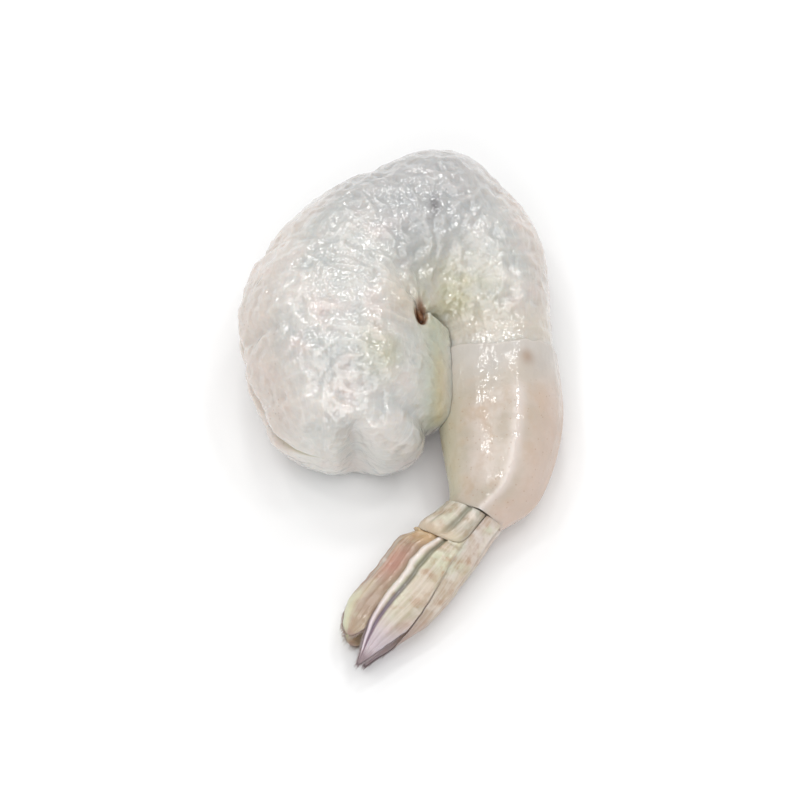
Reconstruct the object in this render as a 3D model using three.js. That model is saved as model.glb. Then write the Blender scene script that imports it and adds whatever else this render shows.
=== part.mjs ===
// A raw peeled whiteleg shrimp with its tail left on, curled up and lying on its side.
// Millimetres, +Z up, resting on z = 0, with the origin under the middle of its footprint.

import * as THREE from 'three';
import { LoftGeometry } from 'three/addons/geometries/LoftGeometry.js';

// ---------------------------------------------------------------- driving dimensions

// The body is a row of upright slices. Each has its back on the outside of the curl and its
// belly on the inside, half its width from side to side, and the height of its middle.
const bodySlices = [
  { back: [-13.7, -13.3], belly: [3.2, -15.0], halfWidth: 7.0, height: 7.0 },
  { back: [-15.8, -8.6], belly: [4.0, -10.2], halfWidth: 7.8, height: 7.6 },
  { back: [-16.6, -0.9], belly: [3.8, -3.0], halfWidth: 8.1, height: 7.9 },
  { back: [-13.1, 7.7], belly: [2.9, -0.4], halfWidth: 8.0, height: 7.8 },
  { back: [-4.2, 15.9], belly: [2.7, 0.7], halfWidth: 7.8, height: 7.6 },
  { back: [7.0, 19.2], belly: [3.5, 1.1], halfWidth: 7.4, height: 7.2 },
  { back: [15.8, 9.8], belly: [4.2, 0.3], halfWidth: 6.5, height: 6.3 },
  { back: [17.3, -2.8], belly: [4.4, -3.7], halfWidth: 5.6, height: 5.5 },
  { back: [18.0, -12.8], belly: [4.9, -13.6], halfWidth: 5.0, height: 4.9 },
  { back: [15.5, -21.5], belly: [5.9, -20.2], halfWidth: 4.0, height: 4.2 },
  { back: [11.4, -24.8], belly: [5.8, -22.3], halfWidth: 2.9, height: 3.7 },
];
const lastSlice = bodySlices.length - 1;

// Places along the body are counted in slices: 0 at the cut end, 10 at the root of the tail fan.
const segmentEnds = [0, 1.35, 2.75, 4.15, 5.5, 6.8]; // the five peeled segments
const shellStart = 7.15; // front edge of the shell left on the last segment
const shellInnerEnd = 9.6; // how far its hollow reaches
const fleshNarrows = 9.1; // where the flesh inside it starts to round off
const fleshEnd = 9.45;

const eggShape = 0.1; // how much fuller the section is towards the back
const creaseDepth = 0.35; // furrow between two segments
const creaseReach = 0.1; // its share of a segment's length
const creaseBow = 0.16; // how far the furrow bows back on the flank, in slices
const bellyFold = 0.25; // swelling of the belly muscle in each segment

const slitDepth = 2.4; // the cut along the back where the vein was drawn
const slitHalfWidth = 0.65;
const slitEnd = 6.3;
const slitFade = 0.9; // over this many slices the cut runs out
const lipHeight = 0.35; // the swollen lips of the cut
const lipPlace = 2.1;
const lipWidth = 0.9;

const noseLength = 4.6; // how far the cut end swells past its first slice
const noseTip = 0.35; // its highest point, from 0 at the middle to 1 at the back
const bellyLobe = 0.16; // how much further the belly side swells
const noseRound = 2.5; // 2 is an ellipse, more is blunter
const notchDepth = 1.7; // furrow between the back lobe and the belly lobe
const notchPlace = -0.12; // from 1 at the back to -1 at the belly
const notchWidth = 0.24;

const shellWall = 0.5;
const gap = 0.35; // clearance between neighbouring pieces
const shellStep = 0.3; // how far the shell's front edge stands over the flesh
const stepLength = 0.09; // the flesh steps down into the shell over this many slices

const joint = [8.45, -24.0, 3.85]; // root of the tail fan
const fanHeading = -126.8; // degrees from +X towards +Y
const fanDroop = 5.3; // degrees below level
const fanLength = 21.5;
const rootLean = 0.23; // how much the fan's root leans with the end of the shell
const rootEnd = 5;
const rootThickness = 0.9;
const bladeThickness = 0.5;
const ribHeight = 0.2; // the raised rib along each blade
const tuck = 0.85; // how deep a blade's covered edge lies under its neighbour

const footprintMiddle = [0.66, -10.98]; // of the numbers above, seen from above
const floorLevel = 0;

// ---------------------------------------------------------------- materials

const raw = (color, roughness) => new THREE.MeshStandardMaterial({ color, roughness, metalness: 0 });
const fleshMaterial = raw(0xcfc9c1, 0.28);
const shellMaterial = raw(0xb9a08c, 0.2);
const telsonMaterial = raw(0xa58a72, 0.35);
const bladeMaterial = raw(0x8f6653, 0.35);

// ---------------------------------------------------------------- small helpers

const smooth = (from, to, x) => THREE.MathUtils.smoothstep(x, from, to);
const bump = (x, centre, width) => Math.exp(-(((x - centre) / width) ** 2));

function namedMesh(name, sections, material) {
  const geometry = new LoftGeometry(sections, { closed: true, capStart: true, capEnd: true });
  const mesh = new THREE.Mesh(geometry, material);
  mesh.name = name;
  return mesh;
}

// ---------------------------------------------------------------- the body's form

const line = (points) => new THREE.CatmullRomCurve3(points, false, 'catmullrom', 0.5);
const backLine = line(bodySlices.map((s) => new THREE.Vector3(s.back[0], s.back[1], 0)));
const bellyLine = line(bodySlices.map((s) => new THREE.Vector3(s.belly[0], s.belly[1], 0)));
const sizeLine = line(bodySlices.map((s) => new THREE.Vector3(s.halfWidth, s.height, 0)));

// The slice at a place along the body: its middle, its half depth from belly to back,
// its half width, and the level direction from its middle to the back.
function sliceAt(place) {
  const t = THREE.MathUtils.clamp(place / lastSlice, 0, 1);
  const back = backLine.getPoint(t);
  const belly = bellyLine.getPoint(t);
  const size = sizeLine.getPoint(t);
  const outward = back.clone().sub(belly);
  const halfDepth = outward.length() / 2;
  const middle = back.add(belly).multiplyScalar(0.5).setZ(size.y);
  return { middle, outward: outward.normalize(), halfDepth, halfWidth: size.x };
}

// A point on a slice. The angle runs from 0 at the back over the upper flank to half a turn
// at the belly. The relief is added square to the section's own round form.
function pointOnSlice(slice, angle, relief, floor) {
  const depth = (slice.halfDepth + relief) * Math.cos(angle);
  const fullness = 1 + eggShape * Math.cos(angle);
  const rise = (slice.halfWidth * fullness + relief) * Math.sin(angle);
  const point = slice.middle.clone().addScaledVector(slice.outward, depth);
  point.z = Math.max(floor, point.z + rise);
  return point;
}

// Furrows between the segments, the swelling belly muscles and the cut along the back.
function bodyRelief(place, angle, slice) {
  let crease = 0;
  let swell = 0;
  for (let i = 0; i + 1 < segmentEnds.length; i += 1) {
    const along = (place - segmentEnds[i]) / (segmentEnds[i + 1] - segmentEnds[i]);
    if (along >= 0 && along <= 1) {
      const front = i === 0 ? 0 : Math.exp(-along / creaseReach);
      crease = front + Math.exp(-(1 - along) / creaseReach);
      swell = Math.sin(Math.PI * along);
    }
  }
  const towardsBelly = (1 - Math.cos(angle)) / 2;
  const belly = towardsBelly ** 4;
  const furrows = -creaseDepth * crease * (1 - 0.6 * belly) + bellyFold * swell * belly;

  const fromBack = Math.sin(angle) * slice.halfWidth;
  const onBack = Math.cos(angle) > 0 ? 1 - smooth(slitEnd - slitFade, slitEnd, place) : 0;
  const cut = -slitDepth * bump(fromBack, 0, slitHalfWidth);
  const lips = lipHeight * bump(Math.abs(fromBack), lipPlace, lipWidth);
  return furrows + onBack * (cut + lips);
}

// Angles round a slice, closest together at the cut along the back.
function anglesAround(count, crowding) {
  return Array.from({ length: count }, (_, k) => {
    const turn = (2 * Math.PI * k) / count;
    return turn - crowding * Math.sin(turn);
  });
}

// ---------------------------------------------------------------- flesh

function fleshPoint(place, angle) {
  const bow = creaseBow * Math.sin(angle) ** 2 * smooth(0, 1, place) * (1 - smooth(6, 6.8, place));
  const slice = sliceAt(place + bow);
  const relief = bodyRelief(place, angle, slice);
  const stepEnd = shellStart - stepLength;
  const underEdge = shellStep * smooth(6, stepEnd - stepLength, place);
  const underShell = (shellWall + gap - shellStep) * smooth(stepEnd - stepLength, stepEnd, place);
  const floor = floorLevel + underEdge + underShell;
  return pointOnSlice(slice, angle, relief - underEdge - underShell, floor);
}

// The cut end: a blunt dome with a furrow that parts the back muscle from the belly muscle.
function nosePoint(share, angle) {
  const rim = sliceAt(0);
  const heading = sliceAt(0).middle.sub(sliceAt(0.4).middle).setZ(0).normalize();
  const tip = rim.middle.clone().addScaledVector(rim.outward, noseTip * rim.halfDepth);
  const point = tip.lerp(fleshPoint(0, angle), share);
  const towardsBack = point.clone().sub(rim.middle).dot(rim.outward) / rim.halfDepth;
  const dome = (1 - share ** noseRound) ** (1 / noseRound);
  const notch = notchDepth * bump(towardsBack, notchPlace, notchWidth) * dome;
  point.addScaledVector(heading, noseLength * dome * (1 - bellyLobe * towardsBack) - notch);
  return point;
}

function fleshMesh() {
  const angles = anglesAround(46, 0.55);
  const sections = [];
  const noseShares = [0.06, 0.25, 0.45, 0.63, 0.78, 0.89, 0.96, 0.99];
  for (const share of noseShares) {
    sections.push(angles.map((angle) => nosePoint(share, angle)));
  }
  const ringsPerSegment = 11;
  for (let i = 0; i + 1 < segmentEnds.length; i += 1) {
    for (let j = 0; j < ringsPerSegment; j += 1) {
      const along = (1 - Math.cos((Math.PI * j) / ringsPerSegment)) / 2;
      const place = THREE.MathUtils.lerp(segmentEnds[i], segmentEnds[i + 1], along);
      sections.push(angles.map((angle) => fleshPoint(place, angle)));
    }
  }
  const lastCrease = segmentEnds[segmentEnds.length - 1];
  for (const place of [lastCrease, shellStart - stepLength, 7.4, 7.9, 8.4, 8.8, fleshNarrows]) {
    sections.push(angles.map((angle) => fleshPoint(place, angle)));
  }
  for (const share of [0.75, 0.4, 0.08]) {
    const place = THREE.MathUtils.lerp(fleshNarrows, fleshEnd, Math.sqrt(1 - share * share));
    const centre = sliceAt(place).middle;
    sections.push(angles.map((angle) => centre.clone().lerp(fleshPoint(place, angle), share)));
  }
  return namedMesh('flesh', sections, fleshMaterial);
}

// ---------------------------------------------------------------- tail shell

// A thin cup over the last segment: out along the inner wall, round the front edge, and back
// along the outer wall to the closed end at the root of the fan. A ring's share is its size,
// from 1 on the wall to 0 at the middle of the end, which bulges a little on both faces.
function shellRing(place, inset, share, angles) {
  const endBulge = (inset > 0 ? -0.2 : 0.5) * Math.sqrt(1 - share * share);
  const heading = sliceAt(lastSlice).middle.sub(sliceAt(lastSlice - 0.3).middle).setZ(0).normalize();
  return angles.map((angle) => {
    const bow = creaseBow * Math.sin(angle) ** 2 * (1 - smooth(shellStart, shellStart + 1, place));
    const slice = sliceAt(place + bow);
    const wall = pointOnSlice(slice, angle, -inset, floorLevel + inset);
    return slice.middle.clone().lerp(wall, share).addScaledVector(heading, endBulge);
  });
}

function tailShellMesh() {
  const angles = anglesAround(36, 0);
  const places = [shellStart, 7.4, 7.75, 8.1, 8.5, 8.9, 9.2, 9.5];
  const outerPlaces = [...places, 9.8];
  const endShares = [0.96, 0.8, 0.5, 0.1];
  const innerEnd = endShares.map((share) => shellRing(shellInnerEnd, shellWall, share, angles));
  const inner = places.map((place) => shellRing(place, shellWall, 1, angles)).reverse();
  const edge = shellRing(shellStart - 0.03, shellWall / 2, 1, angles);
  const outer = outerPlaces.map((place) => shellRing(place, 0, 1, angles));
  const outerEnd = endShares.map((share) => shellRing(lastSlice, 0, share, angles));
  const rings = [...innerEnd.reverse(), ...inner, edge, ...outer, ...outerEnd];
  return namedMesh('tail_shell', rings, shellMaterial);
}

// ---------------------------------------------------------------- tail fan

// The shut fan is a bundle of thin pieces that wrap round an oval. Along the fan the oval's
// middle shifts sideways (x) and its half sizes across (y) and up (z) change.
const fanOval = line([
  new THREE.Vector3(-0.3, 3.2, 2.6),
  new THREE.Vector3(-0.85, 4.2, 2.8),
  new THREE.Vector3(-0.95, 4.3, 2.7),
  new THREE.Vector3(-1.4, 3.7, 2.3),
  new THREE.Vector3(-0.6, 1.9, 1.5),
]);

const heading = THREE.MathUtils.degToRad(fanHeading);
const droop = THREE.MathUtils.degToRad(fanDroop);
const fanAxis = new THREE.Vector3(
  Math.cos(heading) * Math.cos(droop),
  Math.sin(heading) * Math.cos(droop),
  -Math.sin(droop),
);
const fanBack = new THREE.Vector3(-Math.sin(heading), Math.cos(heading), 0);
const fanUp = new THREE.Vector3().crossVectors(fanAxis, fanBack).normalize();

// A point in the fan, from the distance along it, the angle round the oval counted from the
// back, and the depth under the oval. Near its root the fan leans with the end of the shell.
function inFan(along, degrees, depth, side) {
  const oval = fanOval.getPoint(along / fanLength);
  const angle = THREE.MathUtils.degToRad(degrees);
  const towardsBack = oval.x + (oval.y - depth) * Math.cos(angle);
  const up = side * (oval.z - depth) * Math.sin(angle);
  const lean = rootLean * towardsBack * (1 - smooth(0, 7, along));
  return new THREE.Vector3(...joint)
    .addScaledVector(fanAxis, along - lean)
    .addScaledVector(fanBack, towardsBack)
    .addScaledVector(fanUp, up);
}

// A thin lens-shaped piece on the oval, from one angle to another. Both its ends narrow
// towards its middle line, and its surface may carry a raised rib or a sunk groove.
function leafMesh({ name, side, from, to, angles, depths, thickness, rib, waist, tip, material }) {
  const across = 8;
  const steps = 15;
  const middle = (angles[0] + angles[1]) / 2;
  const spread = (angles[1] - angles[0]) / 2;
  const sections = [];
  for (let i = 0; i <= steps; i += 1) {
    const share = (i / steps + Math.sin((i / steps) * (Math.PI / 2))) / 2;
    const along = THREE.MathUtils.lerp(from, to, share);
    const rootWidth = THREE.MathUtils.lerp(waist, 1, smooth(0, 0.4, share));
    const width = rootWidth * (1 - (0.99 * share) ** tip.roundness) ** tip.sharpness;
    const ring = [];
    for (let k = 0; k < 2 * across; k += 1) {
      const outside = k < across;
      const place = outside ? k / across : (2 * across - k) / across;
      const lens = Math.sqrt(4 * place * (1 - place));
      const raised = outside ? rib * bump(place, 0.5, 0.13) * (1 - share) : 0;
      const half = (thickness * lens) / 2 + raised;
      const tucked = THREE.MathUtils.lerp(depths[0], depths[1], smooth(0.3, 0.8, place));
      const underRoot = depths[2] * (1 - smooth(rootEnd, rootEnd + 3, along));
      const depth = tucked + underRoot + thickness / 2 + (outside ? -half : half);
      const degrees = middle + spread * width * (2 * place - 1);
      ring.push(inFan(along, degrees, depth, side));
    }
    if (side < 0) ring.reverse();
    sections.push(ring);
  }
  return namedMesh(name, sections, material);
}

// ---------------------------------------------------------------- assembly

const group = new THREE.Group();
group.position.set(-footprintMiddle[0], -footprintMiddle[1], 0);
group.add(fleshMesh());
group.add(tailShellMesh());

// The stiff spear along the back of the fan.
group.add(leafMesh({
  name: 'telson',
  side: 1,
  from: 0.45,
  to: 16.5,
  angles: [-60, 60],
  depths: [0, 0, 0],
  thickness: 0.65,
  rib: -0.15,
  waist: 0.9,
  tip: { roundness: 2.2, sharpness: 0.8 },
  material: telsonMaterial,
}));

for (const [label, side] of [['near', 1], ['far', -1]]) {
  // The stub that carries the two blades of one side.
  group.add(leafMesh({
    name: `fan_root_${label}`,
    side,
    from: 0.45,
    to: rootEnd,
    angles: [68, 165],
    depths: [0, 0, 0],
    thickness: rootThickness,
    rib: 0,
    waist: 0.85,
    tip: { roundness: 5, sharpness: 0.4 },
    material: shellMaterial,
  }));
  // The inner blade tucks under the telson, and the outer blade under the inner one.
  group.add(leafMesh({
    name: `inner_blade_${label}`,
    side,
    from: rootEnd - 1.4,
    to: 21.4,
    angles: [14, 104],
    depths: [tuck, 0, rootThickness + gap],
    thickness: bladeThickness,
    rib: ribHeight,
    waist: 0.8,
    tip: { roundness: 3.2, sharpness: 0.75 },
    material: bladeMaterial,
  }));
  group.add(leafMesh({
    name: `outer_blade_${label}`,
    side,
    from: rootEnd - 1.4,
    to: 19.3,
    angles: [90, 168],
    depths: [tuck, 0, rootThickness + gap],
    thickness: bladeThickness,
    rib: ribHeight,
    waist: 0.8,
    tip: { roundness: 10, sharpness: 0.5 },
    material: bladeMaterial,
  }));
}

export default group;
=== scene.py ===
import math
from collections import namedtuple

import bmesh
import bpy
from mathutils import Color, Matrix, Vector, noise


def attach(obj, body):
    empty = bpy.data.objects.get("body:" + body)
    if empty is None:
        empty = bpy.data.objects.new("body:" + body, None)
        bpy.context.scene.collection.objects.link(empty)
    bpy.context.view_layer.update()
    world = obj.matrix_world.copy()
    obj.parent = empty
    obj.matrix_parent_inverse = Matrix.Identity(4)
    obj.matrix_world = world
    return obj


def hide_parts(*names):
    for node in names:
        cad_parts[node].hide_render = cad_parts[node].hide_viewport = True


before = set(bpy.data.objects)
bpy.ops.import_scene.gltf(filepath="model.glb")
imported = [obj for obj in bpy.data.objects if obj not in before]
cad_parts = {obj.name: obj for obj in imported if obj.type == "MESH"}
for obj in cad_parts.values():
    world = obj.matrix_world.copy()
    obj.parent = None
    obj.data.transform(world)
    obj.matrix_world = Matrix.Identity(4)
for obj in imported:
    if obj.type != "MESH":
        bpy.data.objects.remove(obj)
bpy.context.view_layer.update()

# ---------------------------------------------------------------- peeled flesh
# The muscle of the five peeled segments and the stub that stays inside the tail shell: one
# soft wet piece of raw flesh, grey-white and a little see-through. The head was twisted off,
# which left a blunt end of two lobes, and a cut along the back shows where the vein came out.

MM = 0.001  # the shapes are worked out in millimetres
PART_X, PART_Y = -0.66, 10.98  # from the drawing's zero to the middle of the footprint

# Upright slices of the body: back x, back y, belly x, belly y, half width, height of the middle.
# A place on the body is counted in slices, from 0 at the cut end.
BODY_SLICES = [
    Vector((-13.7, -13.3, 3.2, -15.0, 7.0, 7.0)),
    Vector((-15.8, -8.6, 4.0, -10.2, 7.8, 7.6)),
    Vector((-16.6, -0.9, 3.8, -3.0, 8.1, 7.9)),
    Vector((-13.1, 7.7, 2.9, -0.4, 8.0, 7.8)),
    Vector((-4.2, 15.9, 2.7, 0.7, 7.8, 7.6)),
    Vector((7.0, 19.2, 3.5, 1.1, 7.4, 7.2)),
    Vector((15.8, 9.8, 4.2, 0.3, 6.5, 6.3)),
    Vector((17.3, -2.8, 4.4, -3.7, 5.6, 5.5)),
    Vector((18.0, -12.8, 4.9, -13.6, 5.0, 4.9)),
    Vector((15.5, -21.5, 5.9, -20.2, 4.0, 4.2)),
    Vector((11.4, -24.8, 5.8, -22.3, 2.9, 3.7)),
]
LAST_SLICE = len(BODY_SLICES) - 1
SEGMENT_ENDS = [0, 1.35, 2.75, 4.15, 5.5, 6.8]
SHELL_START = 7.15


def smooth(low, high, x):
    """From 0 at the low value to 1 at the high one, without a corner."""
    x = min(max((x - low) / (high - low), 0.0), 1.0)
    return x * x * (3 - 2 * x)


def between(x, rise, fall):
    """0 before the first range, 1 between the two, and 0 after the second."""
    return smooth(*rise, x) * (1 - smooth(*fall, x))


def bump(x, centre, width):
    return math.exp(-(((x - centre) / width) ** 2))


def mix(a, b, share):
    return a + (b - a) * share


FINE = 400  # points on a line between two knots


def fine_line(knots):
    """The smooth line through the knots."""
    line = []
    for i, (start, end) in enumerate(zip(knots, knots[1:])):
        before = knots[i - 1] if i else 2 * start - end
        after = knots[i + 2] if i + 2 < len(knots) else 2 * end - start
        leave, arrive, across = (end - before) / 2, (after - start) / 2, end - start
        for w in (step / FINE for step in range(FINE)):
            bend = 3 * across - 2 * leave - arrive + w * (leave + arrive - 2 * across)
            line.append(start + w * (leave + w * bend))
    return line + [knots[-1], knots[-1]]


def on_line(line, t):
    """The point of a fine line t knots from its first."""
    step = min(max(t * FINE, 0), len(line) - 2)
    i = int(step)
    return line[i] + (line[i + 1] - line[i]) * (step - i)


BODY_LINE = fine_line(BODY_SLICES)
BACK_FULLNESS = 0.1  # how much wider a slice is towards the back


def slice_at(place):
    """Middle, level direction to the back, half depth and half width of the body there."""
    row = on_line(BODY_LINE, place)
    back, belly = Vector((row[0], row[1], 0)), Vector((row[2], row[3], 0))
    middle = (back + belly) / 2
    middle.z = row[5]
    return middle, (back - belly).normalized(), (back - belly).length / 2, row[4]


def on_slice(section, angle, relief, lowest, belly_roundness=1.0):
    """From 0 at the back over the upper flank to half a turn at the belly."""
    middle, outward, half_depth, half_width = section
    to_back = math.cos(angle)
    fullness = 1 + BACK_FULLNESS * to_back
    if to_back < 0:
        to_back = -((-to_back) ** belly_roundness)
    point = middle + outward * ((half_depth + relief) * to_back)
    point.z = max(lowest, middle.z + (half_width * fullness + relief) * math.sin(angle))
    return point


FURROW_DEPTH, FURROW_REACH = 0.5, 0.1  # the reach is a share of the segment
LAST_FURROW = 0.3  # the furrow nearest the tail shell is fainter
CREASE_BOW = 0.16  # how far the furrows bow towards the tail on the flanks
BELLY_SWELL = 0.25
CUT_DEPTH, CUT_WIDTH = 2.4, 0.62
LIP_HEIGHT, LIP_PLACE, LIP_WIDTH = 0.35, 1.9, 0.9
CUT_RUN_OUT = (5.4, 6.3)


def furrow_and_swell(place):
    """How deep in a furrow between two segments, and how far up on a segment, the place is."""
    for first, last in zip(SEGMENT_ENDS, SEGMENT_ENDS[1:]):
        if first <= place <= last:
            along = (place - first) / (last - first)
            front = math.exp(-along / FURROW_REACH) if first else 0
            rear = math.exp(-(1 - along) / FURROW_REACH)
            if last == SEGMENT_ENDS[-1]:
                rear *= LAST_FURROW
            return front + rear, math.sin(math.pi * along) ** 2
    return 0, 0


def furrow_left(angle):
    """The furrows are deepest on the back and run out towards the belly."""
    return 1 - 0.95 * smooth(0.05, 0.6, (1 - math.cos(angle)) / 2)


def body_relief(place, angle, half_width):
    """The furrows, the swell of each segment at the belly, and the cut along the back."""
    crease, swell = furrow_and_swell(place)
    to_belly = (1 - math.cos(angle)) / 2
    furrows = -FURROW_DEPTH * crease * furrow_left(angle) + BELLY_SWELL * swell * to_belly ** 4
    if math.cos(angle) < 0:
        return furrows
    wander = 0.22 * noise.noise(Vector((place * 2.3, 3.7, 0)))
    from_back = math.sin(angle) * half_width - wander
    ragged = 1 + 0.35 * noise.noise(Vector((place * 4.1, 9.2, math.copysign(1, from_back))))
    cut = -CUT_DEPTH * bump(from_back, 0, CUT_WIDTH * ragged)
    lips = LIP_HEIGHT * ragged * bump(abs(from_back), LIP_PLACE, LIP_WIDTH)
    return furrows + (1 - smooth(*CUT_RUN_OUT, place)) * (cut + lips)


SHELL_WALL, SHELL_LIP = 0.5, 0.14  # thickness of the shell, and of its front edge
GAP, LIP_GAP = 0.35, 0.08  # between the shell and the flesh that it holds
SHELL_TAPER = (SHELL_START, SHELL_START + 1.2)
SHRINK = 0.06  # how much the flesh draws in just before the shell


def shell_wall(place):
    """The shell thins towards its front edge."""
    return mix(SHELL_LIP, SHELL_WALL, smooth(*SHELL_TAPER, place))


def under_shell(place):
    """How far the flesh lies below the outside of the shell."""
    held = shell_wall(place) + mix(LIP_GAP, GAP, smooth(*SHELL_TAPER, place))
    step = smooth(SHELL_START - 0.12, SHELL_START - 0.02, place)
    return SHRINK * smooth(6.1, 6.9, place) + (held - SHRINK) * step


PIT = Vector((2.9, -3.3, 11.6))  # where the curled belly closes on itself
PIT_HALF_WIDTH, PIT_HALF_LENGTH, PIT_DEPTH = 0.55, 1.15, 2.2
BELLY_ROUNDNESS = 0.52  # under 1 squares the belly side off, as the curl does
FOLDED = (-0.2, 0.8), (6.5, 7.1)  # where the belly side is squared off
GATHERED = (1.75, 2.35), (6.3, 7.05)  # where it is drawn in to the pit
PRESSED = (-0.05, 0.45), (1.9, 2.5)  # where it bulges against the tail


def flesh_point(place, angle):
    bow = CREASE_BOW * math.sin(angle) ** 2 * between(place, (0, 1), (6, 6.8))
    section = slice_at(place + bow)
    inset = under_shell(place)
    relief = body_relief(place, angle, section[3]) - inset
    roundness = mix(1, BELLY_ROUNDNESS, between(place, *FOLDED))
    point = on_slice(section, angle, relief, inset, roundness)
    to_belly = max(-math.cos(angle), 0)
    gathered = between(place, *GATHERED)
    pull = PIT - (section[0] - section[1] * section[2])
    point += Vector((pull.x, pull.y, 0)) * (gathered * to_belly ** 2)
    point.z += pull.z * gathered * to_belly ** 4
    pressed = between(place, *PRESSED)
    if pressed and to_belly:
        press_on_tail(point, section, pressed, to_belly)
    return point


TAIL_FULLNESS = 0.91
LUMP_ROOM = 0.3  # how far the lumps of the flesh stand out before the shell starts
BELLY_Y = [row[3] for row in BODY_SLICES]


def tail_wall(y, z):
    """How far left the belly side of the tail reaches, at a point between the two legs."""
    before = 7 if y < BELLY_Y[7] else 6
    place = before + (BELLY_Y[before] - y) / (BELLY_Y[before] - BELLY_Y[before + 1])
    middle, _, half_depth, half_width = slice_at(place)
    rise = min(abs(z - middle.z) / (half_width * TAIL_FULLNESS), 1)
    on_flesh = 1 - smooth(6.7, SHELL_START, place)
    reach = math.sqrt(1 - rise * rise) ** mix(1, 0.75, on_flesh)
    return middle.x - (half_depth + LUMP_ROOM * on_flesh) * reach


BULGE_LOW, BULGE_HIGH = 2.2, 2.6  # its reach near the cut end, and near the pit
PRESSED_IN = 0.12


def press_on_tail(point, section, pressed, to_belly):
    """The soft belly of the cut half bulges over until it lies against the tail."""
    reach = mix(BULGE_LOW, BULGE_HIGH, smooth(-14, -8, point.y))
    point.x += reach * pressed * bump(point.z, section[0].z - 0.6, 3.6) * smooth(0, 0.6, to_belly)
    point.x = min(point.x, tail_wall(point.y, point.z) + PRESSED_IN)


NOSE_LENGTH, NOSE_LEAN = 4.6, 0.16
NOSE_TIP = 0.35  # how far towards the back its highest point lies, in half depths
NOTCH_DEPTH, NOTCH_PLACE, NOTCH_WIDTH = 2.1, -0.12, 0.2  # between the two lobes


def nose_point(share, angle):
    """The blunt cut end, from its highest point at share 0 to its rim at 1."""
    middle, outward, half_depth, _ = slice_at(0)
    heading = middle - slice_at(0.4)[0]
    heading.z = 0
    heading.normalize()
    tip = middle + outward * (NOSE_TIP * half_depth)
    point = tip.lerp(flesh_point(0, angle), share)
    to_back = (point - middle).dot(outward) / half_depth
    dome = (1 - share ** 2.5) ** 0.4
    notch = NOTCH_DEPTH * bump(to_back, NOTCH_PLACE, NOTCH_WIDTH) * dome ** 3
    return point + heading * (NOSE_LENGTH * dome * (1 - NOSE_LEAN * to_back) - notch)


NOSE_RINGS, BODY_RINGS, CORE_RINGS, END_RINGS = 62, 330, 16, 8
FLESH_RINGS = NOSE_RINGS + BODY_RINGS + CORE_RINGS + END_RINGS
FLESH_COLUMNS = 224
CORE_END, FLESH_END = 9.1, 9.45


def flesh_station(ring):
    """Place along the body, and share of the section's size, of a ring of the flesh."""
    if ring <= NOSE_RINGS:
        return 0.0, math.sin(ring / NOSE_RINGS * math.pi / 2)
    ring -= NOSE_RINGS
    if ring <= BODY_RINGS:
        return SHELL_START * ring / BODY_RINGS, 1.0
    ring -= BODY_RINGS
    if ring <= CORE_RINGS:
        return mix(SHELL_START, CORE_END, ring / CORE_RINGS), 1.0
    share = math.cos((ring - CORE_RINGS) / END_RINGS * math.pi / 2)
    return mix(CORE_END, FLESH_END, math.sqrt(1 - share * share)), share


def ring_and_turn(vert, rings, columns):
    """The ring of the sphere that a vertex lies on, and its angle round the axis."""
    ring = round(math.acos(min(max(vert.co.z, -1), 1)) / math.pi * rings)
    return ring, 2 * math.pi * round(math.atan2(vert.co.y, vert.co.x) / (2 * math.pi) * columns) / columns


def in_mark(spot, centre, reach):
    """1 in the middle of an oval mark on the upper flank, and less the further out."""
    return bump(math.hypot((spot.x - centre[0]) / reach[0], (spot.y - centre[1]) / reach[1]), 0, 1)


def set_in_frame(bm):
    """From the drawing's millimetres to the object's frame in metres."""
    for vert in bm.verts:
        vert.co = (vert.co + Vector((PART_X, PART_Y, 0))) * MM


SLICE_LENGTH, LENGTH_ROUND = 9, 7.2  # millimetres along a slice, and round one radian
NOSE_FLOW = 6
PILLOW_SIZE, PUCKER_SIZE, SWELL_SIZE = 2.3, 1.25, 5.5
PILLOW_HEIGHT, SWELL_HEIGHT = 0.85, 0.15
FRONT_LEG = 20  # millimetres of the body that lie against the tail
YELLOW_PATCH = (6.6, -0.9), (4.7, 4.5)
GREEN_PATCH = (-1.2, -9.2), (2.0, 2.6)
GREY_SPOT = (4.4, 9.0), (0.55, 1.2)
PIT_HALO = (1.0, -3.4), (1.9, 2.6)
VALLEY_PLACE, VALLEY_WIDTH = 4.4, 1.6
VALLEY_LENGTH = (-17, -14), (-4, -1.5)

flesh = bmesh.new()
bmesh.ops.create_uvsphere(flesh, u_segments=FLESH_COLUMNS, v_segments=FLESH_RINGS, radius=1)
flow, zones, fold, marks = (
    flesh.verts.layers.float_vector.new(name) for name in ("flow", "zones", "fold", "marks"))
lump_strength = {}
for vert in flesh.verts:
    ring, turn = ring_and_turn(vert, FLESH_RINGS, FLESH_COLUMNS)
    angle = turn - 0.4 * math.sin(turn)
    place, share = flesh_station(ring)
    on_end = 0.0
    if ring <= NOSE_RINGS:
        on_end = 1 - share
        vert.co = nose_point(share, angle)
    else:
        vert.co = slice_at(place)[0].lerp(flesh_point(place, angle), share)
    crease = furrow_and_swell(place)[0] * furrow_left(angle)
    in_cut = bump(math.sin(angle) * slice_at(place)[3], 0, 0.8) * (math.cos(angle) > 0)
    in_cut *= 1 - smooth(5.2, 6.3, place)
    vert[flow] = Vector((place * SLICE_LENGTH - on_end * NOSE_FLOW, angle * LENGTH_ROUND, on_end))
    vert[zones] = Vector((crease, in_cut, smooth(0.3, 1, math.cos(angle)) * (1 - on_end)))
    upper = max(math.sin(angle), 0) * (1 - 0.4 * smooth(6.4, 7.0, place))
    lump_strength[vert] = (0.35 + 0.65 * upper) * (1 - smooth(6.98, 7.12, place)) * (1 - 0.5 * on_end)
flesh.normal_update()
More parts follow.
